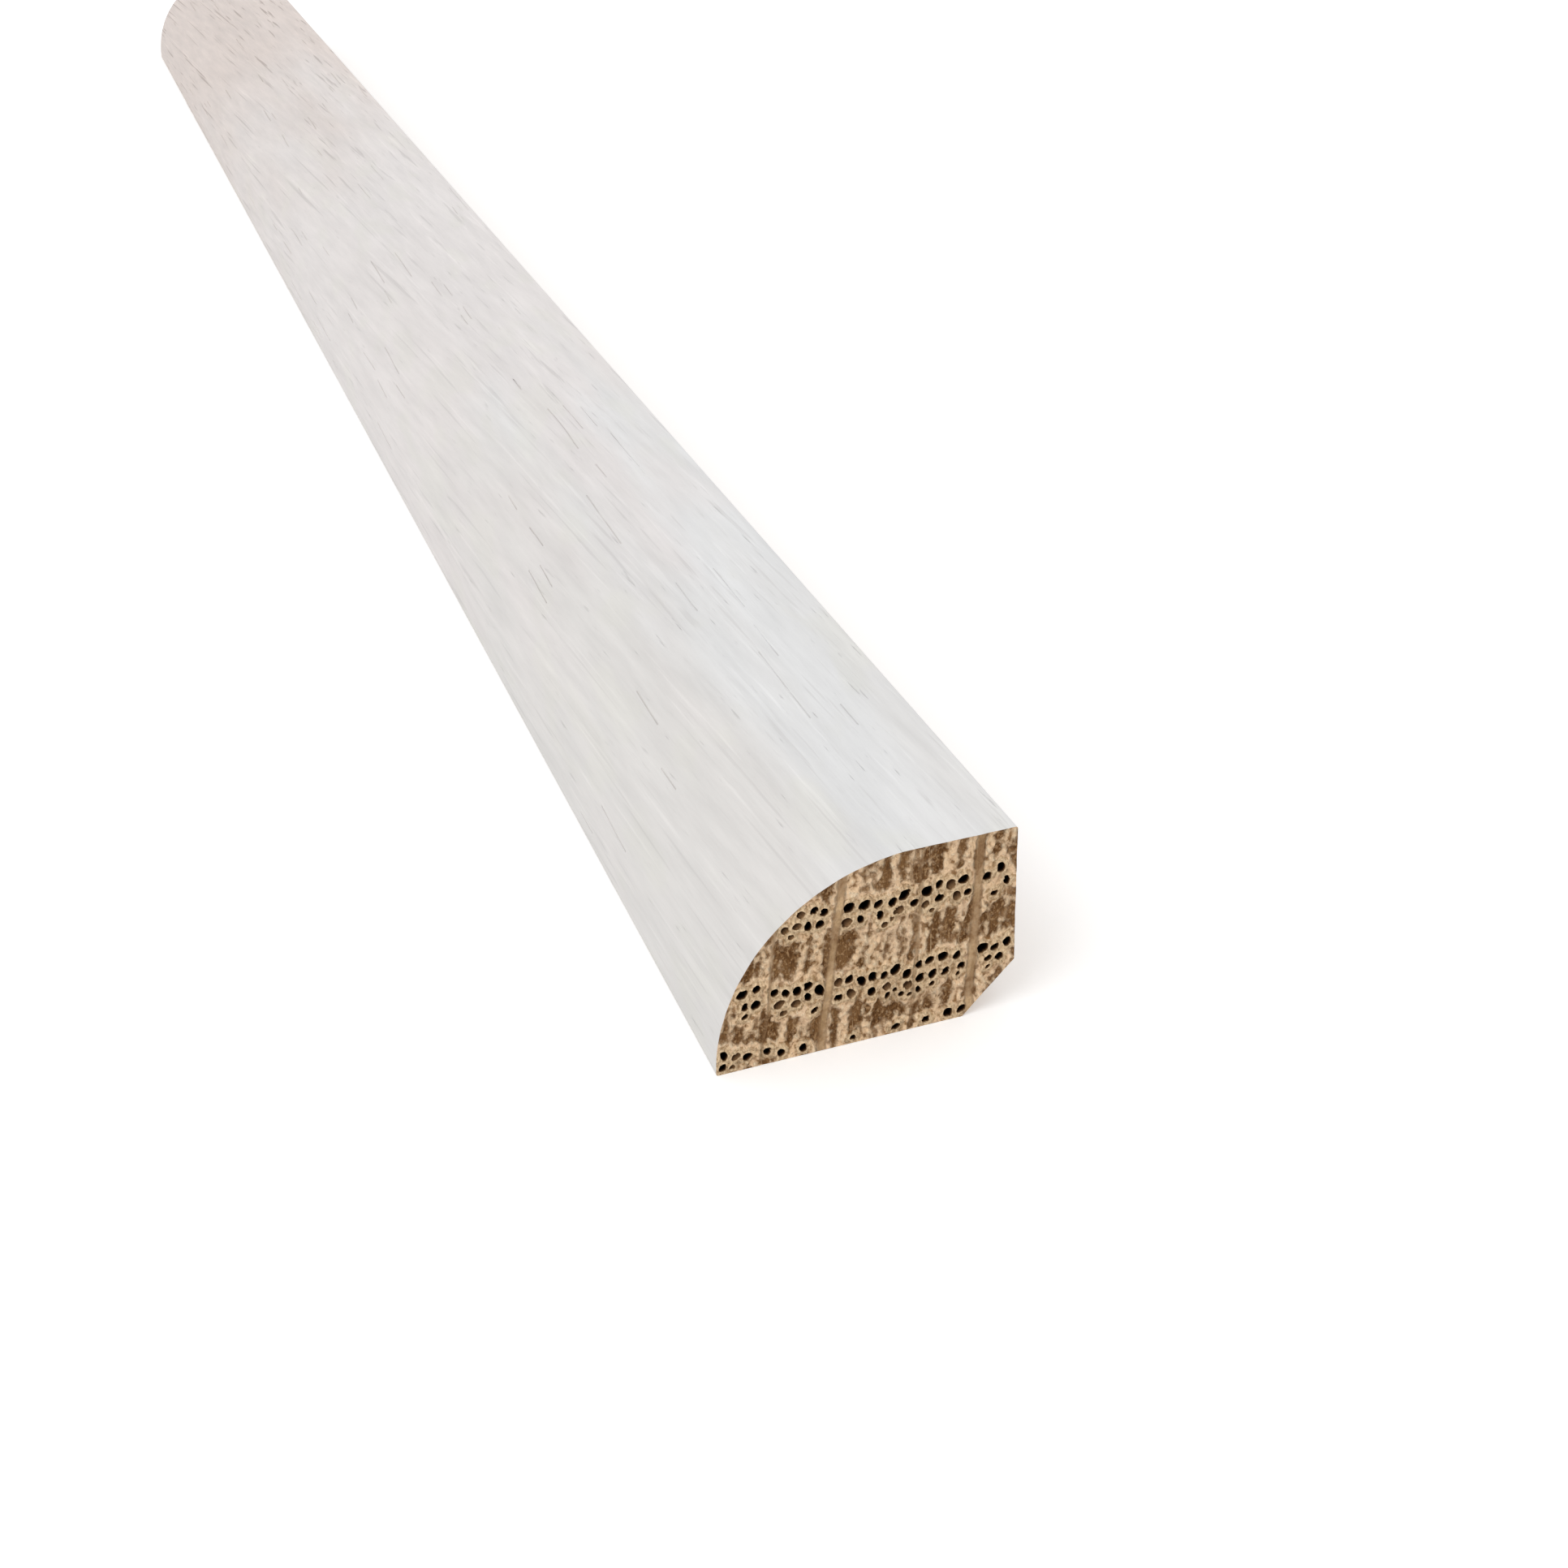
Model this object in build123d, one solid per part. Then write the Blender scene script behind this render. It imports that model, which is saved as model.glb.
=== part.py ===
from build123d import *
import os
from math import cos, radians, sin

# Shoe moulding: a stick of solid hardwood trim that hides the gap between a floor and
# the wall or skirting board beside it. It is one piece, run through a moulder, sanded,
# finished on its show face and sawn square to length.
#
# Round its section, from the toe, where the show face meets the floor: the nose is a
# quarter round that rises from the toe to the top land, the top land runs level to the
# wall face, the wall face drops to the relief, and the relief slopes back under the
# stick to the floor face, clear of the corner between floor and wall.
#
# Millimetres. +X runs across the floor to the wall, +Y along the stick away from its
# near end, +Z up. The origin is on the floor, under the centre of the stick.

# Driving dimensions
NOSE_RADIUS = 12.7      # quarter round on the room side, from the floor up to the top land (1/2 in)
TOP_LAND = 6.35         # flat top between the nose and the wall face (1/4 in)
RELIEF_FACE = 4.76      # width of the sloping face that clears the floor and wall corner (3/16 in)
RELIEF_ANGLE = 45.0     # degrees that the relief rises from the floor
ARRIS_RADIUS = 0.15     # sanded arris along the toe and along the back of the top land
STICK_LENGTH = 304.8    # saw cut to saw cut (12 in)

# Sizes that follow from them
SECTION_WIDTH = NOSE_RADIUS + TOP_LAND
SECTION_HEIGHT = NOSE_RADIUS
RELIEF_RUN = RELIEF_FACE * cos(radians(RELIEF_ANGLE))
RELIEF_RISE = RELIEF_FACE * sin(radians(RELIEF_ANGLE))
TOE_X = -SECTION_WIDTH / 2
WALL_X = SECTION_WIDTH / 2


def section():
    """The profile that the moulder cuts, drawn at the near end."""
    toe = (TOE_X, 0)
    nose_centre = (TOE_X + NOSE_RADIUS, 0)
    top_back = (WALL_X, SECTION_HEIGHT)
    relief_top = (WALL_X, RELIEF_RISE)
    relief_foot = (WALL_X - RELIEF_RUN, 0)
    near_end = Plane.XZ.offset(STICK_LENGTH / 2)
    with BuildSketch(near_end) as profile:
        with BuildLine():
            nose = CenterArc(nose_centre, NOSE_RADIUS, 180, -90)
            Polyline(nose @ 1, top_back, relief_top, relief_foot, toe)
        make_face()
    return profile.sketch


def long_arrises(stick):
    """The two show edges that sanding takes the sharpness off: the toe and the back of the top land."""
    along = stick.edges().filter_by(Axis.Y)
    toe = along.sort_by(Axis.X)[0]
    top_back = along.sort_by(Axis.Z)[-2:].sort_by(Axis.X)[-1]
    return [toe, top_back]


def shoe_moulding():
    """The whole stick: its section run from the near saw cut to the far one."""
    stick = extrude(section(), amount=-STICK_LENGTH)
    return fillet(long_arrises(stick), ARRIS_RADIUS)


os.makedirs("parts", exist_ok=True)
export_step(shoe_moulding(), "parts/shoe_moulding.step")
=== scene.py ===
# %% [markdown]
# # A stick of whitewashed oak shoe moulding
#
# Shoe moulding is the small trim that covers the gap between a floor and a wall. The
# real stick is one piece of oak: a moulder cuts its section, a sander smooths it, a thin
# white stain and a satin varnish go on the face that shows, and a saw cuts it to length.
#
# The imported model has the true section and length, as one plain solid. This lesson
# dresses it: the whole skin of the stick is modelled again as one closed mesh, with the
# pores of the oak cut into it, and three procedural finishes go on that one piece.

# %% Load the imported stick
import random
from math import ceil, pi, radians, sqrt

import bmesh
import bpy
from mathutils import Euler, Matrix, Vector, kdtree, noise


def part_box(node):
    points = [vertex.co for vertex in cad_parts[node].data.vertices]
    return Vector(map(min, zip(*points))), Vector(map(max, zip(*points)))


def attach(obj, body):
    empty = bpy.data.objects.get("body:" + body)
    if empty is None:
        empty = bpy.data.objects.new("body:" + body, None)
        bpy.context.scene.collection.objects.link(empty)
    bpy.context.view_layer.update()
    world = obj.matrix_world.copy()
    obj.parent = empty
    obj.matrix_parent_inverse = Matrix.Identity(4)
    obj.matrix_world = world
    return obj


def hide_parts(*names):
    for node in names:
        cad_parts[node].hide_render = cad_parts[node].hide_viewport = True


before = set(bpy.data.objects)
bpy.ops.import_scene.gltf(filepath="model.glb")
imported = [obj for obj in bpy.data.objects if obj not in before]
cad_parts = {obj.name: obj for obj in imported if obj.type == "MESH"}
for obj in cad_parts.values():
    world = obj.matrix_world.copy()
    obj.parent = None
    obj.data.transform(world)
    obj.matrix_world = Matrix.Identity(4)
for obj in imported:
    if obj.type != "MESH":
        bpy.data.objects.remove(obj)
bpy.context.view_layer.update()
low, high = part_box("shoe_moulding")
print("the packed stick runs from", tuple(low), "to", tuple(high))

# %% [markdown]
# ## The sizes of the stick
#
# A vessel of oak is about half a millimetre across, and an open pore along the face a
# tenth. That is too fine for mesh tools that weld and compare in metres, so the stick is
# modelled in millimetres, and one scale at the end brings it to metres. Every size of the
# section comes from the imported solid's box, apart from the sloping relief at the wall
# corner and the sanded arrises, which are stated.

# %% Sizes in millimetres
MM = 0.001
WALL_X = high.x / MM
TOE_X = -WALL_X
HEIGHT = high.z / MM
NEAR_Y = low.y / MM
FAR_Y = high.y / MM
LENGTH = FAR_Y - NEAR_Y
NOSE_RADIUS = HEIGHT
NOSE_X = TOE_X + NOSE_RADIUS
RELIEF = 3.366      # how far the relief reaches under the stick and up the wall face
ARRIS = 0.15        # how far from its corner a sanded arris starts
NEARLY = 0.001      # two places as near as this are one
print(f"section {WALL_X - TOE_X:.2f} by {HEIGHT:.2f} mm, length {LENGTH:.1f} mm")

# %% [markdown]
# ## The section
#
# A moulder's knives cut the whole section at once. Here it is drawn in the same spirit:
# five corners joined into a wire, the nose swept from the top land down to the toe by
# spinning one corner about the nose's centre, and the two sanded arrises rounded with a
# bevel. A list of points on a circle would do too, but the spin keeps it exact and
# says what the shape is.
#
# Long straight sides are then divided, because a later step opens pores along the lines
# between the divisions. The show side is divided more finely than the back.

# %% Draw the section at the near end
NOSE_STEPS = 57
ARRIS_STEPS = 3
SHOW_PITCH = 0.36
BACK_PITCH = 0.55


def draw_section(bm):
    """The outline of the stick as one face at the near end."""
    corners = [
        bm.verts.new((x, NEAR_Y, z))
        for x, z in (
            (TOE_X, 0),
            (WALL_X - RELIEF, 0),
            (WALL_X, RELIEF),
            (WALL_X, HEIGHT),
            (NOSE_X, HEIGHT),
        )
    ]
    for start, end in zip(corners, corners[1:]):
        bm.edges.new((start, end))
    bmesh.ops.spin(bm, geom=corners[-1:], cent=(NOSE_X, NEAR_Y, 0), axis=(0, 1, 0),
                   angle=-pi / 2, steps=NOSE_STEPS, use_merge=False)
    bmesh.ops.remove_doubles(bm, verts=bm.verts, dist=NEARLY)
    bmesh.ops.contextual_create(bm, geom=bm.edges[:])
    sharp = [v for v in bm.verts if v.co.x < TOE_X + NEARLY and v.co.z < NEARLY
             or v.co.x > WALL_X - NEARLY and v.co.z > HEIGHT - NEARLY]
    bmesh.ops.bevel(bm, geom=sharp, offset=ARRIS, offset_type="OFFSET",
                    segments=ARRIS_STEPS, profile=0.5, affect="VERTICES", material=-1)
    return len(sharp)


def divide_sides(bm):
    """Divides the straight sides of the section to the pitch of their finish."""
    for side in [e for e in bm.edges if e.calc_length() > 2 * SHOW_PITCH]:
        on_land = all(v.co.z > HEIGHT - NEARLY for v in side.verts)
        pitch = SHOW_PITCH if on_land else BACK_PITCH
        cuts = ceil(side.calc_length() / pitch) - 1
        bmesh.ops.subdivide_edges(bm, edges=[side], cuts=cuts)


stick = bmesh.new()
arrises = draw_section(stick)
divide_sides(stick)
print("the outline has", len(stick.verts), "points and", arrises, "sanded arrises")

# %% [markdown]
# ## The run of the stick
#
# The outline is extruded from one saw cut to the other, and the long edges are divided
# into rows about a millimetre apart. The face at the near end goes: both saw cuts are
# made later, each with its own vessels.
#
# The stick gets its three finishes as material slots: 0 for the whitewashed show face,
# 1 for the bare planed back and 2 for the sawn ends.

# %% Run the section along the stick
SHOW, BACK, SAWN = 0, 1, 2
ROWS = 305
ROW_LENGTH = LENGTH / ROWS


def run_section(bm):
    """Extrudes the outline to the far end and divides the long faces into rows."""
    outline = bm.edges[:]
    bmesh.ops.delete(bm, geom=bm.faces[:], context="FACES_ONLY")
    run = bmesh.ops.extrude_edge_only(bm, edges=outline)["geom"]
    far = [part for part in run if isinstance(part, bmesh.types.BMVert)]
    bmesh.ops.translate(bm, verts=far, vec=(0, LENGTH, 0))
    bmesh.ops.recalc_face_normals(bm, faces=bm.faces[:])
    long_edges = [e for e in bm.edges if e.calc_length() > LENGTH / 2]
    bmesh.ops.subdivide_edges(bm, edges=long_edges, cuts=ROWS - 1, use_grid_fill=True)


def name_finishes(bm):
    """The floor face, the wall face and the relief stay bare; the rest is whitewashed."""
    for face in bm.faces:
        bare = face.normal.z < -0.5 or face.normal.x > 0.9
        face.material_index = BACK if bare else SHOW


run_section(stick)
name_finishes(stick)
print("the run of the stick has", len(stick.faces), "faces")

# %% [markdown]
# ## Open pores along the faces
#
# Where a plane meets the long vessels of oak, it opens them, and each shows as a fine
# dark dash along the grain. The stain and varnish bridge most of them on the show face,
# while the bare back keeps more of them open. A bump map could fake them, but real cuts
# catch the light at any distance and are part of the mesh itself.
#
# A pore is a short run of long edges. Bevel opens each run into a strip, and an inset of
# all the strips sinks them, so two operators cut every pore on the stick at once. The
# runs are picked at random, and never side by side, so that no two strips meet.

# %% Pick the runs of edges that become pores
SHOW_PORES = 80
BACK_PORES = 420
PORE_SEED = 31
PORE_ROWS = (2, 11, 3)      # the shortest, the longest and the most common length
FLAT_ANGLE = 0.1


def long_lines(bm):
    """Every line of long edges, in order round the section, each in order along the stick."""
    lines = {}
    for edge in bm.edges:
        start, end = edge.verts
        if abs(start.co.y - end.co.y) > ROW_LENGTH / 2:
            lines.setdefault((round(start.co.x, 3), round(start.co.z, 3)), []).append(edge)
    for line in lines.values():
        line.sort(key=lambda e: e.verts[0].co.y + e.verts[1].co.y)
    middle = Vector((0, HEIGHT / 2))
    return sorted(lines.values(), key=lambda line: angle_round(middle, line[0].verts[0].co))


def angle_round(middle, place):
    """The direction of a place from the middle of the section, as an angle."""
    return Vector((place.x - middle.x, place.z - middle.y)).angle_signed(Vector((0, 1)), 0)


def pick_runs(lines, finish, count, chooser):
    """Runs of edges on the faces of one finish, at least one line and one row apart."""
    flat = [n for n, line in enumerate(lines) if line[0].calc_face_angle(0) < FLAT_ANGLE
            and all(face.material_index == finish for face in line[0].link_faces)]
    taken = set()
    runs = []
    while len(runs) < count:
        number = chooser.choice(flat)
        rows = round(chooser.triangular(*PORE_ROWS))
        first = chooser.randrange(1, ROWS - rows - 1)
        cells = {(number, row) for row in range(first, first + rows)}
        if taken.isdisjoint(cells):
            taken |= {(number + side, row) for side in (-1, 0, 1)
                      for row in range(first - 1, first + rows + 1)}
            runs.append(lines[number][first:first + rows])
    return runs


chooser = random.Random(PORE_SEED)
lines = long_lines(stick)
show_runs = pick_runs(lines, SHOW, SHOW_PORES, chooser)
back_runs = pick_runs(lines, BACK, BACK_PORES, chooser)
print(len(lines), "lines of edges,", len(show_runs), "pores to show,", len(back_runs), "behind")

# %% Cut the pores
PORE_HALF_WIDTH = 0.055
PORE_SLOPE = 0.03
PORE_SINK = 0.06
groove = stick.verts.layers.float.new("groove")


def held(value, lowest=0, highest=1):
    """A value kept between two others."""
    return min(highest, max(lowest, value))


def cut_pores(bm, runs):
    """Opens the runs with a bevel, sinks them with an inset and notes how dark each place is."""
    edges = [edge for run in runs for edge in run]
    strips = bmesh.ops.bevel(bm, geom=edges, offset=PORE_HALF_WIDTH, offset_type="OFFSET",
                             segments=1, profile=0.5, affect="EDGES", material=-1)["faces"]
    bmesh.ops.inset_region(bm, faces=strips, thickness=PORE_SLOPE, depth=-PORE_SINK,
                           use_boundary=True, use_even_offset=True)
    floors = {vert for face in strips for vert in face.verts}
    for vert in floors:
        vert[groove] = held(0.6 + 1.5 * noise.noise(vert.co * 0.6), 0.1)
    return len(floors)


sunk = cut_pores(stick, show_runs + back_runs)
print(sunk, "points lie at the bottom of a pore;", len(stick.faces), "faces in all")

# %% [markdown]
# ## Grain that wanders and stands proud
#
# A tree doesn't grow as straight as a plane cuts, so the grain drifts a degree or so off
# the stick's length. And sanding wears soft wood more than hard, so each streak stands a
# hair proud of the next. Both are small moves of points that are already there: sideways
# along the face for the drift, and inwards for the raised grain. Every move fades out
# towards the corners, so the section stays exact, and nothing moves out of the solid.

# %% Move the points of the long faces
WANDER = 0.7
WANDER_LENGTH = 45
WANDER_WIDTH = 7
WIGGLE = 0.22
WIGGLE_LENGTH = 9
RAISED_GRAIN = 0.03
STREAK_WIDTH = 0.9
STREAK_LENGTH = 22
EASE_LENGTH = 2
CORNERS = [Vector(place) for place in
           ((TOE_X, 0), (WALL_X - RELIEF, 0), (WALL_X, RELIEF), (WALL_X, HEIGHT))]


def skin_sides(x, z):
    """For each side of the section, how far inside it a place lies and which way it faces."""
    nose = Vector((x - NOSE_X, 0, z))
    sides = [
        (z, Vector((0, 0, -1))),
        (HEIGHT - z, Vector((0, 0, 1))),
        (WALL_X - x, Vector((1, 0, 0))),
        ((z - x + WALL_X - RELIEF) / sqrt(2), Vector((1, 0, -1)).normalized()),
    ]
    if x < NOSE_X:
        sides.append((NOSE_RADIUS - nose.length, nose.normalized()))
    return sides


def nearest_side(x, z):
    """The side of the section that a place is nearest to."""
    return min(skin_sides(x, z), key=lambda side: side[0])


def ease_at_corners(place):
    """0 at a corner of the section, rising to 1 two millimetres away."""
    gap = min((place.xz - corner).length for corner in CORNERS)
    return held((gap - ARRIS) / EASE_LENGTH)


def along_grain(place, width, length, layer):
    """Smooth noise from about -1 to 1, stretched along the stick; each layer is another noise."""
    return noise.noise(Vector((place.x / width, place.y / length + layer, place.z / width)))


def move_long_faces(bm):
    """Drifts the grain sideways and wears the soft streaks down."""
    furthest = 0
    for vert in bm.verts:
        outwards = nearest_side(vert.co.x, vert.co.z)[1]
        sideways = Vector((outwards.z, 0, -outwards.x))
        drift = WANDER * along_grain(vert.co, WANDER_WIDTH, WANDER_LENGTH, 0)
        drift += WIGGLE * along_grain(vert.co, WANDER_WIDTH, WIGGLE_LENGTH, 20)
        streak = along_grain(vert.co, STREAK_WIDTH, STREAK_LENGTH, 50)
        worn = RAISED_GRAIN * held(0.5 + streak)
        move = ease_at_corners(vert.co) * (drift * sideways - worn * outwards)
        vert.co += move
        furthest = max(furthest, move.length)
    return furthest


print(f"the furthest point moved {move_long_faces(stick):.2f} mm")

# %% [markdown]
# ## What the saw shows
#
# Oak is ring porous. Each spring the tree grows a band of wide vessels, two or three rows
# deep, and after it the dense latewood of the summer, in dark flames between paler
# columns. Broad rays run straight across the rings. On a sawn end all of that stands
# open: the vessels are holes, each with a pale wall.
#
# None of it is drawn by hand. A few values say where the rings and the rays cross the
# section, and a seeded loop lays the vessels along each ring, row by row, and never
# through a ray or into each other.

# %% State the rings and the rays
RINGS = (-0.3, 4.0, 9.2)        # the height of each ring where it is lowest
RING_RADIUS = 45
RING_LOWEST_X = 1.5
RING_WAVE = 0.5
RING_WAVE_WIDTH = 1.9
# Each broad ray: how far from the toe it meets the floor face and the top, and its width.
RAYS = ((2.8, 4.5, 0.12), (6.55, 8.3, 0.5), (12.3, 13.2, 0.14), (16.1, 16.8, 0.56))
RAY_SWAY = 0.12


def ring_height(ring, x):
    """The height at which a ring's band of vessels crosses the section, on a shallow arc."""
    sag = (x - RING_LOWEST_X) ** 2 / (2 * RING_RADIUS)
    return ring + sag + RING_WAVE * noise.noise(Vector((x / RING_WAVE_WIDTH, ring, 0)))


def inside_ray(x, z):
    """How far inside the nearest broad ray a place lies; less than nothing outside."""
    sway = RAY_SWAY * noise.noise(Vector((x / 4, 5, z / 2.5)))
    return max(wide / 2 - abs(x + sway - TOE_X - foot - (top - foot) * z / HEIGHT)
               for foot, top, wide in RAYS)


print(len(RINGS), "rings and", len(RAYS), "broad rays cross the section")

# %% Lay the vessels of each saw cut
NEAR_SEED, FAR_SEED = 42, 31
# Each row of a ring: its height over the ring, how much of it holds vessels, their radius,
# and how many of them are part filled.
VESSEL_ROWS = ((0.4, 1.0, 0.37, 0.12), (-0.4, 0.95, 0.35, 0.3), (-1.05, 0.45, 0.24, 0.6))
VESSEL_STEP = 0.1
VESSEL_WALL = 0.1
VESSEL_SHIFT = 0.2
VESSEL_SPREAD = (0.78, 1.08)
VESSEL_SLIM = (0.84, 1)
VESSEL_TURN = (-1.2, 0.4)
VESSEL_ROUGHNESS = 0.22
RAY_WALL = 0.7      # in radii of the vessel beside it
EDGE_WALL = 0.1
EDGE_SHARE = 0.3
EDGE_SIZE = 0.8


class Vessel:
    """One hole in the sawn end: a slightly flattened and roughened circle."""

    def __init__(self, x, z, radius, slim, turn, filled):
        self.centre = Vector((x, z))
        self.radius = radius
        self.flatten = Matrix.Rotation(turn, 2) @ Matrix.Diagonal((1 / slim, slim))
        self.filled = filled

    def reach(self, place):
        """How far out a place lies, in radii of the hole."""
        rough = 1 + VESSEL_ROUGHNESS * noise.noise(Vector((3 * place.x, 3 * place.y, 0)))
        return ((place - self.centre) @ self.flatten).length * rough / self.radius

    def gap(self, place):
        """How far a place lies outside the hole."""
        return (self.reach(place) - 1) * self.radius


def has_room(x, z, radius, vessels):
    """Whether a hole there stays clear of the outline, of the broad rays and of the others."""
    if nearest_side(x, z)[0] < radius + EDGE_WALL or inside_ray(x, z) >= -RAY_WALL * radius:
        return False
    return all(vessel.gap(Vector((x, z))) > radius + VESSEL_WALL for vessel in vessels)


def lay_vessels(chooser):
    """The vessels of one saw cut, ring by ring and row by row."""
    vessels = []
    for ring in RINGS:
        for rise, share, size, filled_share in VESSEL_ROWS:
            x = TOE_X
            while x < WALL_X:
                x += VESSEL_STEP * chooser.uniform(0.6, 1.4)
                radius = size * chooser.uniform(*VESSEL_SPREAD)
                z = ring_height(ring, x) + rise + chooser.uniform(-VESSEL_SHIFT, VESSEL_SHIFT)
                at_edge = 0 < z < radius
                if at_edge:
                    radius *= EDGE_SIZE
                    z = radius + EDGE_WALL
                if not has_room(x, z, radius, vessels):
                    continue
                if chooser.random() < share * (EDGE_SHARE if at_edge else 1):
                    slim, turn = chooser.uniform(*VESSEL_SLIM), chooser.uniform(*VESSEL_TURN)
                    filled = chooser.random() < filled_share
                    vessels.append(Vessel(x, z, radius, slim, turn, filled))
                else:
                    x += 2 * radius
    return vessels


near_vessels = lay_vessels(random.Random(NEAR_SEED))
far_vessels = lay_vessels(random.Random(FAR_SEED))
print(len(near_vessels), "vessels at the near end and", len(far_vessels), "at the far end")

# %% [markdown]
# ## Close the ends
#
# A saw cut needs points all over it, because its relief is everywhere. One fill from
# outline to outline would give long slivers with no points between. So a grid, about as
# fine as a vessel's wall, is laid in the plane of the cut and trimmed just inside the
# outline, and a triangle fill joins the trimmed grid to the outline in one thin border.
#
# Then the points nearest each vessel's edge slide onto it. The faces inside are inset
# again and again, each time a little deeper, which gives the vessel a worn lip, a wall
# and a floor. Some vessels are part filled: they stay shallow, with a floor that leans.
# A Boolean cut would open them too, but is slower and leaves a ragged mesh.

# %% Lay a grid over each saw cut and join it to the outline
GRID_PITCH = 0.115
GRID_MARGIN = 0.1


def lay_grid(bm, y):
    """A fine grid in the plane of the cut, trimmed to just inside the outline."""
    across = ceil((WALL_X - TOE_X) / GRID_PITCH)
    up = ceil(HEIGHT / GRID_PITCH)
    stretch = Matrix.Diagonal((across * GRID_PITCH / 2, up * GRID_PITCH / 2, 1, 1))
    upright = Matrix.Rotation(pi / 2, 4, "X")
    place = Matrix.Translation((0, y, HEIGHT / 2)) @ upright @ stretch
    grid = bmesh.ops.create_grid(bm, x_segments=across, y_segments=up, size=1,
                                 matrix=place)["verts"]
    outside = [v for v in grid if nearest_side(v.co.x, v.co.z)[0] < GRID_MARGIN]
    bmesh.ops.delete(bm, geom=outside, context="VERTS")
    return [face for face in bm.faces if abs(face.calc_center_median().y - y) < NEARLY]


def join_grid(bm, y, grid):
    """Fills the border between the trimmed grid and the outline of the stick."""
    loose = [edge for edge in bm.edges if edge.is_boundary
             and all(abs(vert.co.y - y) < NEARLY for vert in edge.verts)]
    border = bmesh.ops.triangle_fill(bm, edges=loose, use_beauty=True,
                                     normal=(0, 1, 0))["geom"]
    return grid + [part for part in border if isinstance(part, bmesh.types.BMFace)]


def close_end(bm, y):
    """Closes one end of the stick and returns the faces of the cut."""
    cut = join_grid(bm, y, lay_grid(bm, y))
    for face in cut:
        face.material_index = SAWN
        if face.normal.y * y < 0:
            face.normal_flip()
    return cut


near_cut = close_end(stick, NEAR_Y)
far_cut = close_end(stick, FAR_Y)
print("the cuts have", len(near_cut), "and", len(far_cut), "faces")

# %% Slide the points of a cut onto the edges of its vessels
# Both values are added to the mesh here, because adding one later would make Python lose
# track of the points that are noted below.
pit = stick.verts.layers.float.new("pit")
vessel_gap = stick.verts.layers.float.new("vessel_gap")
FURTHEST_GAP = 1.0


def slide_to_vessels(cut, vessels):
    """Slides the points nearest each vessel onto its edge and returns what is in each."""
    tree = kdtree.KDTree(len(vessels))
    for number, vessel in enumerate(vessels):
        tree.insert(vessel.centre.to_3d(), number)
    tree.balance()
    owner = {}
    for vert in dict.fromkeys(v for face in cut for v in face.verts):
        place = vert.co.xz
        near = [number for _, number, _ in tree.find_n(place.to_3d(), 3)]
        number = min(near, key=lambda n: vessels[n].gap(place))
        gap = vessels[number].gap(place)
        on_outline = any(face.material_index != SAWN for face in vert.link_faces)
        if abs(gap) < GRID_PITCH / 2 and not on_outline:
            centre = vessels[number].centre
            vert.co.xz = centre + (place - centre) / vessels[number].reach(place)
            gap = 0
        vert[vessel_gap] = min(gap, FURTHEST_GAP)
        if gap <= 0:
            owner[vert] = number
    return owner


def split_at_rims(cut, owner):
    """Splits each face that has one corner outside its vessel, so that the rim runs round."""
    for face in cut[:]:
        outside = [corner for corner in face.loops if corner.vert not in owner]
        if len(face.verts) == 4 and len(outside) == 1:
            before, after = outside[0].link_loop_prev.vert, outside[0].link_loop_next.vert
            cut.append(bmesh.utils.face_split(face, before, after)[0])


bmesh.ops.recalc_face_normals(stick, faces=stick.faces[:])
stick.normal_update()
near_owner = slide_to_vessels(near_cut, near_vessels)
far_owner = slide_to_vessels(far_cut, far_vessels)
split_at_rims(near_cut, near_owner)
split_at_rims(far_cut, far_owner)
print(len(near_owner) + len(far_owner), "points lie inside the vessels or on their edges")

# %% Open the vessels
OPEN_STEPS = ((0.03, 0.05), (0, 0.25), (0, 1.2))        # each: how much narrower and deeper
FILLED_STEPS = ((0.03, 0.05), (0, 0.17))
FILLED_DEPTH = 0.2
FILLED_LEAN = 0.15
UPPER_LEFT = Vector((-0.6, 0.8))


def sink(bm, discs, steps, inwards):
    """Insets the faces inside the vessels, each time narrower and deeper."""
    for narrower, deeper in steps:
        bmesh.ops.inset_region(bm, faces=discs, thickness=narrower, depth=0,
                               use_boundary=True, use_even_offset=False)
        floors = list(dict.fromkeys(v for face in discs for v in face.verts))
        bmesh.ops.translate(bm, verts=floors, vec=(0, inwards * deeper, 0))
        for vert in floors:
            vert[pit] += deeper


def lean_floor(face, vessel, inwards):
    """Tips a filled floor: deep at its upper left, near the cut at its lower right."""
    for vert in face.verts:
        lean = (vert.co.xz - vessel.centre).dot(UPPER_LEFT) / vessel.radius
        wanted = FILLED_DEPTH + FILLED_LEAN * held(lean, -1)
        vert.co.y += inwards * (wanted - vert[pit])
        vert[pit] = wanted


def open_vessels(bm, cut, owner, vessels, inwards):
    """Opens every vessel of one saw cut and returns how many faces they take."""
    discs = [face for face in cut if face.verts[0] in owner
             and len({owner.get(vert) for vert in face.verts}) == 1]
    within = {face: vessels[owner[face.verts[0]]] for face in discs}
    full = [face for face in discs if within[face].filled]
    sink(bm, full, FILLED_STEPS, inwards)
    sink(bm, [face for face in discs if not within[face].filled], OPEN_STEPS, inwards)
    for face in full:
        lean_floor(face, within[face], inwards)
    return len(discs)


def weld_floors(bm):
    """Welds the points that meet where a leaning floor comes up to its vessel's lip."""
    before = len(bm.verts)
    sunken = [vert for vert in bm.verts if vert[pit] > 0]
    bmesh.ops.remove_doubles(bm, verts=sunken, dist=NEARLY)
    return before - len(bm.verts)


opened = open_vessels(stick, near_cut, near_owner, near_vessels, 1)
opened += open_vessels(stick, far_cut, far_owner, far_vessels, -1)
print(opened, "faces lie inside the vessels, and", weld_floors(stick), "points were welded")

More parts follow.
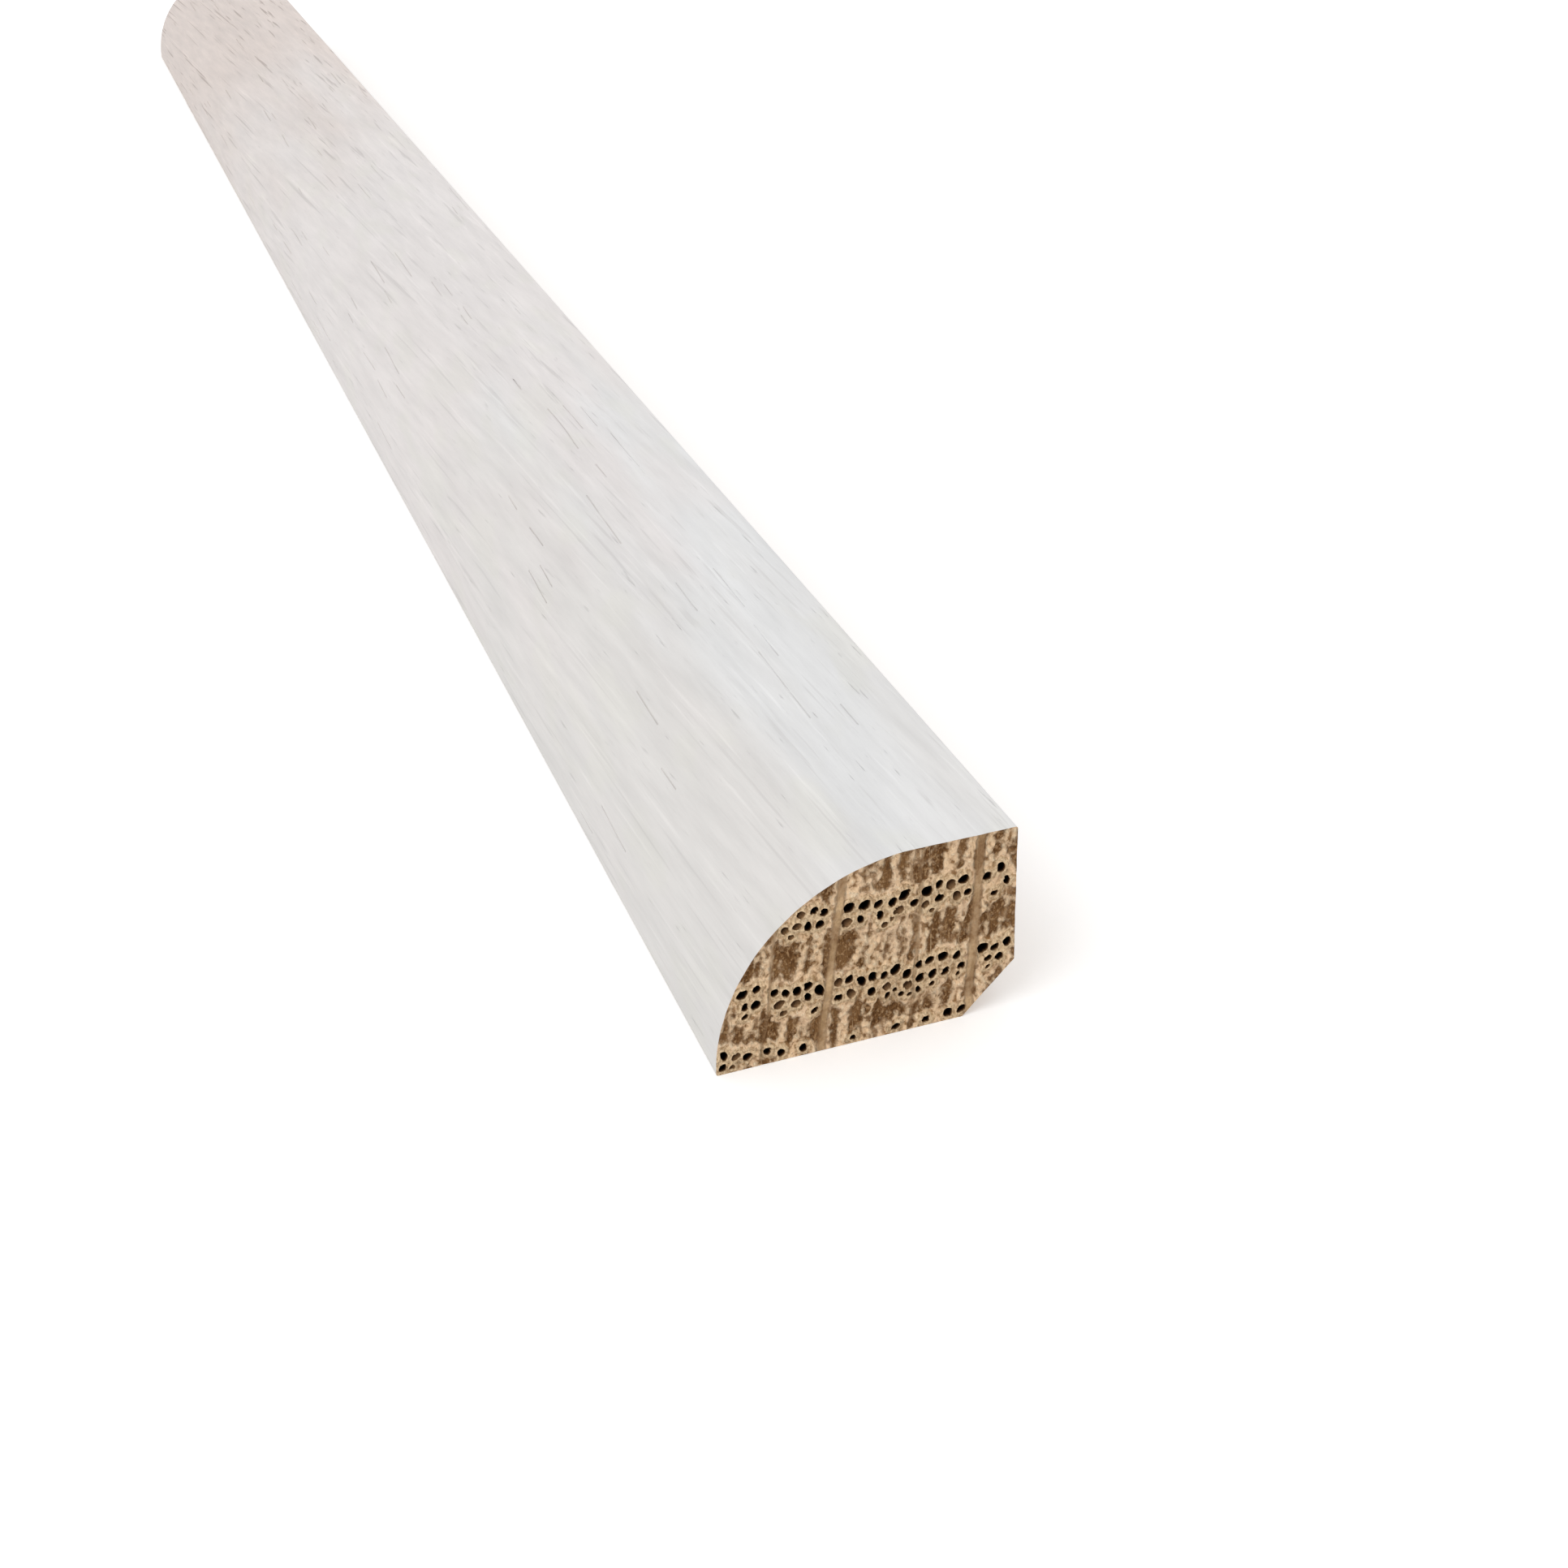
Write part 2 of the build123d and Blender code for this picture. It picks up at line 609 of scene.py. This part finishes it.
# %% [markdown]
# ## The relief of the saw cut
#
# The blade leaves the dense latewood low and smooth and tears the pale tissue into lumps.
# So the flames lie a sixth of a millimetre under the vessels' walls, the rays half as
# deep, and the tissue between them rises and falls.
#
# Two fields are worked out for each point of the cut: how far it is into a flame and how
# far into a ray. They move the point inwards, and they are kept on the mesh, so that the
# finish can colour exactly what the relief shows.

# %% Work out where the flames of latewood stand
FLAME_WIDTH = 0.62
FLAME_HEIGHT = 4.5
FLAME_LEAN = 0.12
RAGGED_WIDTH = 0.3
RAGGED_HEIGHT = 0.5
FRINGE = (0.3, 0.65)        # the pale fringe round the vessels thins out between these
SPRING = (0.7, 1.4)         # and the spring's wood over a ring turns to latewood here
OVER_ALL = 20               # a height below nothing wraps round to nearly this, so it isn't the least


def smooth_step(start, end, value):
    """0 up to start, 1 from end on, and a smooth rise between."""
    share = held((value - start) / (end - start))
    return share * share * (3 - 2 * share)


def flame_at(x, z, gap):
    """How far into a dark flame of latewood a place lies, from about -1 to 1."""
    tall = noise.noise(Vector(((x - FLAME_LEAN * z) / FLAME_WIDTH, 3.1, z / FLAME_HEIGHT)))
    ragged = noise.noise(Vector((x / RAGGED_WIDTH, 7.7, z / RAGGED_HEIGHT)))
    fringe = 1 - smooth_step(*FRINGE, gap)
    over_ring = min((z - ring_height(ring, x)) % OVER_ALL for ring in RINGS)
    spring = 1 - smooth_step(*SPRING, over_ring)
    return 0.1 + 2.0 * tall + 0.6 * ragged - 1.2 * fringe - 0.4 * spring


print("in the middle of the section the flames stand at", round(flame_at(0, HEIGHT / 2, 1), 2))

# %% Press the flames and the rays in
flame = stick.verts.layers.float.new("latewood")
ray = stick.verts.layers.float.new("ray")
FLAME_SINK = 0.16
RAY_SINK = 0.08
LUMP_WIDTH = 0.36
LUMP_SINK = 0.16
WALL_EASE = 0.14
EDGE_EASE = 0.3


def press_in(faces, inwards):
    """Presses flames, rays and lumps into one saw cut, and records the first two."""
    for vert in dict.fromkeys(v for face in faces for v in face.verts):
        x, z = vert.co.x, vert.co.z
        vert[flame] = flame_at(x, z, vert[vessel_gap])
        vert[ray] = inside_ray(x, z)
        in_ray = smooth_step(-0.06, 0.06, vert[ray])
        in_flame = smooth_step(-0.3, 0.4, vert[flame]) * (1 - in_ray)
        lump = held(0.5 + 1.5 * noise.noise(Vector((x / LUMP_WIDTH, 9.3, z / LUMP_WIDTH))))
        worn = LUMP_SINK * lump * (1 - in_flame) * (1 - in_ray)
        clear = smooth_step(0, WALL_EASE, vert[vessel_gap])
        clear *= smooth_step(0, EDGE_EASE, nearest_side(x, z)[0])
        vert.co.y += inwards * clear * (FLAME_SINK * in_flame + RAY_SINK * in_ray + worn)


for inwards in (1, -1):
    cut = [face for face in stick.faces if face.material_index == SAWN
           and face.calc_center_median().y * inwards < 0]
    press_in(cut, inwards)
    print("pressed flames and rays into", len(cut), "faces of a saw cut")

# %% Bring the stick to metres and make it an object
SHARP_ANGLE = radians(55)


def mark_sharp(bm):
    """Smooth faces everywhere, with hard edges where finishes or steep faces meet."""
    for face in bm.faces:
        face.smooth = True
    for edge in bm.edges:
        one, other = edge.link_faces
        same_finish = one.material_index == other.material_index
        edge.smooth = same_finish and edge.calc_face_angle() < SHARP_ANGLE


def make_object(bm, name):
    """The finished mesh as an object at the origin, in metres."""
    bmesh.ops.scale(bm, vec=(MM, MM, MM), verts=bm.verts[:])
    mesh = bpy.data.meshes.new(name)
    bm.to_mesh(mesh)
    bm.free()
    made = bpy.data.objects.new(name, mesh)
    bpy.context.scene.collection.objects.link(made)
    return made


mark_sharp(stick)
triangles = sum(len(face.verts) - 2 for face in stick.faces)
moulding = make_object(stick, "oak_shoe_moulding")
print(moulding.name, "has", triangles, "triangles")

# %% [markdown]
# ## A short hand for finishes
#
# A finish is a tree of nodes, and wiring one by hand takes pages. Two small classes make
# it read like the sums it stands for. A Finish adds any node in one call: its type, its
# settings, then what goes into its sockets. A Wire is one value in the tree, and Python's
# own signs on wires add the Math nodes.

# %% Wires
class Wire:
    """One value in a finish. The signs + - * and / add Math nodes to its tree."""

    def __init__(self, finish, socket):
        self.finish, self.socket = finish, socket

    def __add__(self, other):
        return self.finish.math("ADD", self, other)

    def __sub__(self, other):
        return self.finish.math("SUBTRACT", self, other)

    def __rsub__(self, other):
        return self.finish.math("SUBTRACT", other, self)

    def __mul__(self, other):
        return self.finish.math("MULTIPLY", self, other)

    def __truediv__(self, other):
        return self.finish.math("DIVIDE", self, other)

    __radd__ = __add__
    __rmul__ = __mul__

    def rise(self, start, end):
        """0 up to start, 1 from end on, and a smooth rise between."""
        return self.finish.node("ShaderNodeMapRange", {"interpolation_type": "SMOOTHSTEP"},
                                {"Value": self, "From Min": start, "From Max": end})


# %% Finishes
class Finish:
    """A material with a Principled BSDF, built up node by node.

    Its constants are set on the shader's own sockets, and its lean says how far its grain
    runs off the stick's length, in radians."""

    def __init__(self, name, constants, lean=0.0):
        self.material = bpy.data.materials.new(name)
        self.lean = lean
        self.material.use_nodes = True
        self.tree = self.material.node_tree
        self.shader = self.tree.nodes["Principled BSDF"]
        for socket, value in constants.items():
            self.shader.inputs[socket].default_value = value
        self.place = self.node("ShaderNodeTexCoord", out="Object")

    def node(self, kind, settings=None, values=None, out=0):
        """Adds one node: its type, its settings, then the values or wires of its sockets."""
        added = self.tree.nodes.new(kind)
        for name, value in (settings or {}).items():
            setattr(added, name, value)
        for name, value in (values or {}).items():
            self.plug(added.inputs[name], value)
        return Wire(self, added.outputs[out])

    def plug(self, socket, value):
        """Links a wire to a socket, or sets a plain value on it."""
        if isinstance(value, Wire):
            self.tree.links.new(value.socket, socket)
        else:
            socket.default_value = value

    def math(self, operation, *values):
        """One Math node on wires or numbers."""
        return self.node("ShaderNodeMath", {"operation": operation}, dict(enumerate(values)))

    def kept(self, name):
        """A value that the modelling kept on the points of the mesh."""
        return self.node("ShaderNodeAttribute", {"attribute_name": name}, out="Fac")

    def split_place(self):
        """Object coordinates in millimetres: across, along and up."""
        split = self.node("ShaderNodeSeparateXYZ", {}, {"Vector": self.place}).socket.node
        return [Wire(self, socket) / MM for socket in split.outputs]

    def stretched(self, size, shift, skew):
        """Object coordinates in units of a grain of the given size in millimetres."""
        values = {"Vector": self.place, "Scale": Vector(size) * MM,
                  "Location": (shift * MM, 0, shift * MM), "Rotation": (-skew, 0, skew)}
        return self.node("ShaderNodeMapping", {"vector_type": "TEXTURE"}, values)

    def noise(self, size, shift=0.0, detail=2.0, roughness=0.5, skew=0.0):
        """Noise from 0 to 1, with grains of a size in millimetres along each axis."""
        values = {"Vector": self.stretched(size, shift, skew), "Scale": 1.0,
                  "Detail": detail, "Roughness": roughness}
        return self.node("ShaderNodeTexNoise", {}, values)

    def grain(self, across, along, shift, detail=2.0, roughness=0.5):
        """Noise drawn out along the stick, at the finish's lean."""
        return self.noise((across, along, across), shift, detail, roughness, self.lean)

    def mixed(self, share, under, over):
        """Two colours mixed: under where share is 0, over where it is 1."""
        return self.node("ShaderNodeMix", {"data_type": "RGBA"},
                         {0: share, 6: under, 7: over}, out=2)

    def dimmed(self, colour, share):
        """A colour made lighter or darker by a share."""
        return self.node("ShaderNodeVectorMath", {"operation": "SCALE"},
                         {0: colour, "Scale": share})

    def bump(self, height, distance):
        """A bump whose height wire is in parts of a distance in millimetres."""
        return self.node("ShaderNodeBump", {}, {"Height": height, "Distance": distance * MM})

    def finished(self, colour, roughness, normal):
        """Joins the three looks that vary over the surface to the shader."""
        self.plug(self.shader.inputs["Base Color"], colour)
        self.plug(self.shader.inputs["Roughness"], roughness)
        self.plug(self.shader.inputs["Normal"], normal)
        print(self.material.name, "has", len(self.tree.nodes), "nodes")
        return self.material


def swatch(red, green, blue):
    """A colour read off a swatch from 0 to 255, as the plain light that a shader wants."""
    parts = [part / 255 for part in (red, green, blue)]
    return tuple(p / 12.92 if p < 0.04045 else ((p + 0.055) / 1.055) ** 2.4
                 for p in parts) + (1,)


# %% [markdown]
# ## The whitewashed face
#
# White stain soaks into the open wood and a satin varnish seals it. The oak stays visible
# only as a breath of colour: broad patches that lean to grey, pink or ivory, pale and
# dark streaks along the grain, and fine dashes and long lines where the wood took less
# stain. The far half of the stick is warmer, and its lines are stronger.
#
# All of it is noise stretched along the stick, read in object space. Noise in space runs
# on round the nose and over the arrises without a seam, as the grain of solid wood does.
# The same noise a fraction of a millimetre to the side gives each dash and line a painted
# highlight beside it, on one side only. The curved nose and toe carry a little painted shade.

# %% Tint the whitewash
COOL_WHITE = swatch(224, 221, 218)
CLEAN_WHITE = swatch(227, 227, 227)
PINK_WHITE = swatch(229, 223, 221)
IVORY_WHITE = swatch(224, 223, 213)
WARM_WHITE = swatch(222, 209, 202)


def stain_tint(finish, along, up):
    """The broad patches of colour, and where the pink and the warm part of the stick are."""
    patches = finish.noise((6, 40, 6), 3.0)
    upper = (up + (patches - 0.5) * 6).rise(10.3, 13.5)
    tint = finish.mixed(upper, COOL_WHITE, CLEAN_WHITE)
    pink = (along + (finish.noise((5, 30, 5), 31.0) - 0.5) * 160).rise(-120, -60)
    tint = finish.mixed(pink * 0.8, tint, PINK_WHITE)
    ivory = finish.noise((3, 9, 3), 11.0, detail=1.0).rise(0.52, 0.66)
    tint = finish.mixed(ivory * 0.25, tint, IVORY_WHITE)
    far = (along + (finish.noise((8, 40, 8), 20.0) - 0.5) * 140).rise(-10, 120)
    return finish.mixed(far * 0.95, tint, WARM_WHITE), pink, far


# %% Mix the whitewash
GRAIN_LEAN = 0.042
WORN_NEAR = swatch(172, 168, 166)
WORN_FAR = swatch(176, 160, 152)
PORE_GREY = swatch(150, 138, 130)


def whitewash():
    """White stain under satin varnish, for the show face."""
    finish = Finish("white_stain", {"Specular IOR Level": 0.4}, GRAIN_LEAN)
    across, along, up = finish.split_place()
    tint, pink, far = stain_tint(finish, along, up)

    broad = finish.grain(1.3, 13, 8.0, detail=3.0)
    streaks = finish.grain(0.6, 8, 5.0, detail=4.0, roughness=0.65)
    dash, dash_painted_highlight = [finish.grain(0.26, 5, shift, roughness=0.6).rise(0.67, 0.8)
                        for shift in (14.0, 14.22)]
    line, line_painted_highlight = [finish.grain(0.42, 45, shift).rise(0.61, 0.71)
                        for shift in (41.0, 41.34)]
    faint = finish.grain(0.16, 3, 25.0, detail=1.0).rise(0.64, 0.8)
    groove = finish.kept("groove")

    # Painted shade: the whole curved nose and toe are made a little darker, as if less light fell
    # there.
    painted_nose_shade = 1 - across.rise(NOSE_X - 3, NOSE_X + 1)
    # Painted highlights: the shifted copies of the dashes and lines lighten the face beside each one.
    shade = (broad - 0.5) * 0.2 + (streaks - 0.5) * 0.22 + dash_painted_highlight * 0.03
    shade = shade + line_painted_highlight * 0.06 - painted_nose_shade * 0.045
    tint = finish.dimmed(tint, 1 + (1 + far * 0.3) * shade)
    worn = finish.mixed(far, WORN_NEAR, WORN_FAR)
    tint = finish.mixed(line * (0.2 + pink * 0.1 + far * 0.65), tint, worn)
    tint = finish.mixed(dash * (0.3 + far * 0.15), tint, worn)
    tint = finish.mixed(faint * 0.1, tint, worn)
    tint = finish.mixed(groove * (0.2 + far * 0.25), tint, PORE_GREY)

    height = streaks * 0.5 + broad * 0.5 - dash * 0.6
    return finish.finished(tint, 0.42 + streaks * 0.12, finish.bump(height, 0.06))


moulding.data.materials.append(whitewash())

# %% [markdown]
# ## The bare planed back
#
# The floor face, the wall face and the relief get no finish. They are pale brown oak,
# planed but not sanded: darker streaks of latewood, many open pores, and the shallow
# scallops that the knives leave across the grain. A little white carries over the top
# of the wall face and the toe, with a ragged edge.

# %% Mix the planed back
OAK_DARK = swatch(170, 137, 102)
OAK_PALE = swatch(205, 174, 138)
OAK_WARM = swatch(186, 148, 110)
DASH_BROWN = swatch(104, 76, 52)
PORE_BROWN = swatch(78, 54, 36)
STAIN_EDGE = swatch(222, 217, 210)


def planed_back():
    """Bare planed oak, for the floor face, the wall face and the relief."""
    finish = Finish("planed_oak", {"Specular IOR Level": 0.25})
    streaks = finish.grain(0.8, 40, 2.0, detail=4.0, roughness=0.6)
    wood = finish.mixed(streaks.rise(0.3, 0.7), OAK_DARK, OAK_PALE)
    broad = finish.grain(5, 120, 6.0, detail=1.0).rise(0.35, 0.7)
    wood = finish.mixed(broad * 0.4, wood, OAK_WARM)
    dash = finish.grain(0.14, 4.5, 9.0).rise(0.62, 0.7)
    wood = finish.mixed(dash * 0.75, wood, DASH_BROWN)
    wood = finish.mixed(finish.kept("groove") * 0.85, wood, PORE_BROWN)
    ragged = (finish.noise((0.5, 4, 0.5), 17.0) - 0.5) * 1.6
    across, _, up = finish.split_place()
    on_top = (up + ragged).rise(HEIGHT - 0.6, HEIGHT - 0.2)
    on_toe = 1 - (across + ragged).rise(TOE_X + 0.3, TOE_X + 0.7)
    wood = finish.mixed(finish.math("MAXIMUM", on_top, on_toe) * 0.8, wood, STAIN_EDGE)

    knives = finish.node("ShaderNodeTexWave", {"bands_direction": "Y"},
                         {"Vector": finish.stretched((1, 1, 1), 0, 0), "Scale": 0.08,
                          "Distortion": 0.6, "Detail": 1.0})
    height = streaks * 0.6 - dash * 0.6 + knives * 0.35
    return finish.finished(wood, 0.6 + streaks * 0.15, finish.bump(height, 0.04))


moulding.data.materials.append(planed_back())

# %% [markdown]
# ## The sawn end
#
# Raw end grain, straight off the saw. The fields on the mesh say where the flames, rays
# and vessels are, and fine noise roughens every border between them, so the detail of the
# colour is finer than the points of the mesh. Pale crumbs of torn fibre lie over the
# latewood, and each vessel has a cream wall. Painted shade darkens the hollows between the
# pale tissue's lumps, painted highlights lie on the lumps and along the flames' torn
# border, and the holes are painted darker as they go down, as painted shade.
#
# The noise is so long along the stick that it is the same at every depth of a hole.

# %% Patterns of the sawn end
DEEP = 1000


def end_patterns(finish):
    """The noise that roughens the fields: sway, lumps, crumbs, clouds and fibres."""
    sway = finish.noise((0.36, DEEP, 0.44), 33.0, detail=3.0, roughness=0.6)
    cells = finish.node("ShaderNodeTexVoronoi", {"feature": "SMOOTH_F1"},
                        {"Vector": finish.stretched((0.34, DEEP, 0.44), 0, 0), "Scale": 1.0,
                         "Smoothness": 0.5, "Detail": 0.0}, out="Distance")
    lumps = 1 - cells * 0.8 + (sway - 0.5) * 1.3
    crumbs = finish.noise((0.19, DEEP, 0.24), 9.0)
    clouds = finish.noise((1.6, DEEP, 2.2), 15.0, detail=1.0)
    fibres = finish.noise((0.08, DEEP, 0.35), 22.0)
    return sway, lumps, crumbs, clouds, fibres


# %% Flames and the pale wood between them
# The hollow colour of the pale tissue is painted shade, and its crumb colour is a painted highlight.
PALE_HOLLOW_SHADE, PALE_LUMP = swatch(152, 112, 71), swatch(250, 214, 173)
PALE_CLOUD, PALE_LUMP_HIGHLIGHT = swatch(244, 210, 176), swatch(255, 232, 198)
DARK_HOLLOW, DARK_FIBRE = swatch(90, 57, 27), swatch(129, 92, 55)
DARK_CLOUD, DARK_CRUMB = swatch(154, 116, 76), swatch(192, 155, 114)
# A painted highlight along the torn border of the flames.
TORN_EDGE_HIGHLIGHT = swatch(243, 213, 176)


def flames_and_tissue(finish, lumps, crumbs, clouds, fibres):
    """Dark latewood and pale tissue with a torn border, and where the latewood is.

    The pale tissue carries painted shade in the hollows between its lumps, painted
    highlights on the lumps, and a painted highlight along the torn border.
    """
    # Painted shade and highlight: the pale tissue is darker in the hollows between the lumps and
    # lightest where crumbs top them.
    pale = finish.mixed(lumps.rise(0.26, 0.62), PALE_HOLLOW_SHADE, PALE_LUMP)
    pale = finish.mixed(clouds.rise(0.4, 0.65) * 0.5, pale, PALE_CLOUD)
    pale = finish.mixed((lumps * crumbs).rise(0.34, 0.5) * 0.7, pale, PALE_LUMP_HIGHLIGHT)
    dark = finish.mixed(fibres.rise(0.3, 0.7), DARK_HOLLOW, DARK_FIBRE)
    dark = finish.mixed(clouds.rise(0.45, 0.6) * 0.4, dark, DARK_CLOUD)
    dark = finish.mixed(crumbs.rise(0.5, 0.66) * 0.65, dark, DARK_CRUMB)
    edge = finish.kept("latewood") * 0.75 - (lumps - 0.55) + (crumbs - 0.5) * 0.8 + 0.04
    flames = edge.rise(-0.6, 0.45)
    # Painted highlight: a pale band just outside each flame's border, brightest on the lumps.
    torn_edge_highlight = edge.rise(-0.6, -0.3) * (1 - edge.rise(-0.25, 0.0)) * lumps.rise(0.3, 0.7)
    wood = finish.mixed(flames, pale, dark)
    return finish.mixed(torn_edge_highlight * 0.5, wood, TORN_EDGE_HIGHLIGHT), flames


# %% The walls of the vessels
SPONGE_HOLLOW, SPONGE_CRUMB = swatch(168, 128, 84), swatch(242, 208, 166)
LIP_CREAM = swatch(248, 220, 181)


def vessel_walls(finish, wood, lumps, crumbs):
    """Spongy tissue round the vessels and a cream lip on each, and where both are."""
    gap = finish.kept("vessel_gap") - (lumps - 0.55) * 0.16 + (crumbs - 0.5) * 0.14
    sponge = 1 - gap.rise(0.22, 0.34)
    colour = finish.mixed(crumbs.rise(0.36, 0.58), SPONGE_HOLLOW, SPONGE_CRUMB)
    wood = finish.mixed(sponge * 0.92, wood, colour)
    lip = (1 - gap.rise(0.1, 0.3)) * (crumbs.rise(0.3, 0.6) * 0.3 + 0.35)
    return finish.mixed(lip, wood, LIP_CREAM), sponge, lip


# %% The rays
RAY_BROWN, RAY_PALE = swatch(152, 118, 83), swatch(204, 171, 129)
RAY_EDGE, RAY_FIBRE = swatch(136, 105, 74), swatch(170, 138, 104)
FINE_RAY = swatch(204, 172, 134)


def rays_across(finish, wood, sponge, sway, clouds, fibres):
    """The broad rays and the hair-fine ones between them, and where the broad ones are."""
    inside = finish.kept("ray") + (sway - 0.5) * 0.2
    in_ray = inside.rise(-0.14, 0.08) * 0.8
    in_band = 1 - finish.kept("latewood").rise(-1.5, -0.7)
    core = finish.mixed(clouds.rise(0.42, 0.6) * 0.5 + in_band * 0.5, RAY_BROWN, RAY_PALE)
    core = finish.mixed(inside.rise(-0.02, 0.16), RAY_EDGE, core)
    core = finish.mixed(fibres.rise(0.45, 0.7) * 0.4, core, RAY_FIBRE)
    wood = finish.mixed(in_ray, wood, core)
    fine = finish.noise((0.16, DEEP, 7), 44.0, detail=0.0).rise(0.74, 0.8)
    return finish.mixed(fine * (1 - sponge) * 0.6, wood, FINE_RAY), in_ray


# %% Mix the sawn end
# Each painted shade of a hole: the depths between which it comes, and its colour. The holes
# are painted darker as they go down, as shade falls in them, so a leaning floor shows a dark
# crescent at its deep side.
HOLE_PAINTED_SHADES = ((0.03, 0.1, swatch(146, 112, 78)), (0.08, 0.24, swatch(62, 38, 20)),
               (0.22, 0.4, swatch(10, 5, 2)))


def sawn_end():
    """Raw end grain, for both saw cuts."""
    finish = Finish("sawn_oak_end", {"Specular IOR Level": 0.1})
    sway, lumps, crumbs, clouds, fibres = end_patterns(finish)
    wood, flames = flames_and_tissue(finish, lumps, crumbs, clouds, fibres)
    wood, sponge, lip = vessel_walls(finish, wood, lumps, crumbs)
    wood, in_ray = rays_across(finish, wood, sponge, sway, clouds, fibres)
    depth = finish.kept("pit")
    for start, end, shade in HOLE_PAINTED_SHADES:
        wood = finish.mixed(depth.rise(start, end), wood, shade)

    height = (lumps - flames * 0.4 + lip * 0.5) * (1 - in_ray) + crumbs * 0.5
    return finish.finished(wood, 0.75 + crumbs * 0.1, finish.bump(height, 0.3))


moulding.data.materials.append(sawn_end())

# %% [markdown]
# ## Floor, light and camera
#
# The stick lies on a white floor in soft studio light: an even white surround and one
# large soft lamp. Both stay at the level at which a swatch renders about as it is
# written. Light Path makes the floor and the surround white to the camera, off a gloss
# and through glass, with no more light on the stick, and the floor keeps its shadow.

# %% Lay the floor
FLOOR_HALF = 20
FLOOR_GREY = swatch(232, 232, 232)
FLOOR_GLOW = 0.2
WHITE, BLACK = (1, 1, 1, 1), (0, 0, 0, 1)


def background_rays(tree):
    """1 for a ray that meets the background: from the camera, off a gloss or through glass."""
    path = tree.nodes.new("ShaderNodeLightPath")
    share = path.outputs["Is Camera Ray"]
    for kind in ("Is Glossy Ray", "Is Transmission Ray"):
        either = tree.nodes.new("ShaderNodeMath")
        either.operation = "MAXIMUM"
        tree.links.new(share, either.inputs[0])
        tree.links.new(path.outputs[kind], either.inputs[1])
        share = either.outputs[0]
    return share


def lay_floor():
    """A floor that looks white and still takes the stick's shadow."""
    bm = bmesh.new()
    bmesh.ops.create_grid(bm, x_segments=1, y_segments=1, size=FLOOR_HALF)
    mesh = bpy.data.meshes.new("floor")
    bm.to_mesh(mesh)
    bm.free()
    floor = bpy.data.objects.new("floor", mesh)
    bpy.context.scene.collection.objects.link(floor)
    paint = Finish("white_floor", {"Specular IOR Level": 0.0, "Roughness": 0.9,
                                   "Emission Strength": FLOOR_GLOW})
    seen = Wire(paint, background_rays(paint.tree))
    for socket, unseen in (("Base Color", FLOOR_GREY), ("Emission Color", BLACK)):
        paint.plug(paint.shader.inputs[socket], paint.mixed(seen, unseen, WHITE))
    mesh.materials.append(paint.material)


lay_floor()
print("the floor is", 2 * FLOOR_HALF, "metres wide")

# %% Light the studio
SURROUND = 0.8
LAMP_WATTS = 2.6
LAMP_PLACE = Vector((-0.57, -0.4, 0.8))
LAMP_SIZE = 0.6


def light_studio():
    """An even white surround, and a large lamp above the camera's left."""
    world = bpy.data.worlds.new("studio")
    bpy.context.scene.world = world
    world.use_nodes = True
    tree = world.node_tree
    background = tree.nodes["Background"]
    background.inputs["Color"].default_value = WHITE
    level = tree.nodes.new("ShaderNodeMapRange")
    level.inputs["To Min"].default_value = SURROUND
    tree.links.new(background_rays(tree), level.inputs["Value"])
    tree.links.new(level.outputs["Result"], background.inputs["Strength"])
    lamp = bpy.data.lights.new("lamp", "AREA")
    lamp.energy = LAMP_WATTS
    lamp.size = LAMP_SIZE
    holder = bpy.data.objects.new("lamp", lamp)
    holder.location = LAMP_PLACE
    holder.rotation_euler = (-LAMP_PLACE).to_track_quat("-Z", "Y").to_euler()
    bpy.context.scene.collection.objects.link(holder)


light_studio()
print(f"the lamp hangs {LAMP_PLACE.length:.2f} metres from the stick")

# %% Set up the camera
CAMERA_PLACE = (-38.1, -249.75, 79.1)
CAMERA_TURN = (59.602, 1.612, -19.860)


def set_camera():
    """A 50 mm lens close to the near end, tipped a little to the right."""
    camera = bpy.data.cameras.new("camera")
    camera.lens = 50
    camera.sensor_width = 36
    camera.clip_start = 0.01
    holder = bpy.data.objects.new("camera", camera)
    holder.location = Vector(CAMERA_PLACE) * MM
    holder.rotation_euler = Euler([radians(turn) for turn in CAMERA_TURN], "XYZ")
    bpy.context.scene.collection.objects.link(holder)
    bpy.context.scene.camera = holder


set_camera()
bpy.context.scene.view_settings.view_transform = "Standard"
print("the camera stands at", CAMERA_PLACE, "mm")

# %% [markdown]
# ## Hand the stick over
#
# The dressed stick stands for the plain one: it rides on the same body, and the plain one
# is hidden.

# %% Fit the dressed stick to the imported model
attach(moulding, "root")
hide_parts("shoe_moulding")
bpy.context.view_layer.update()
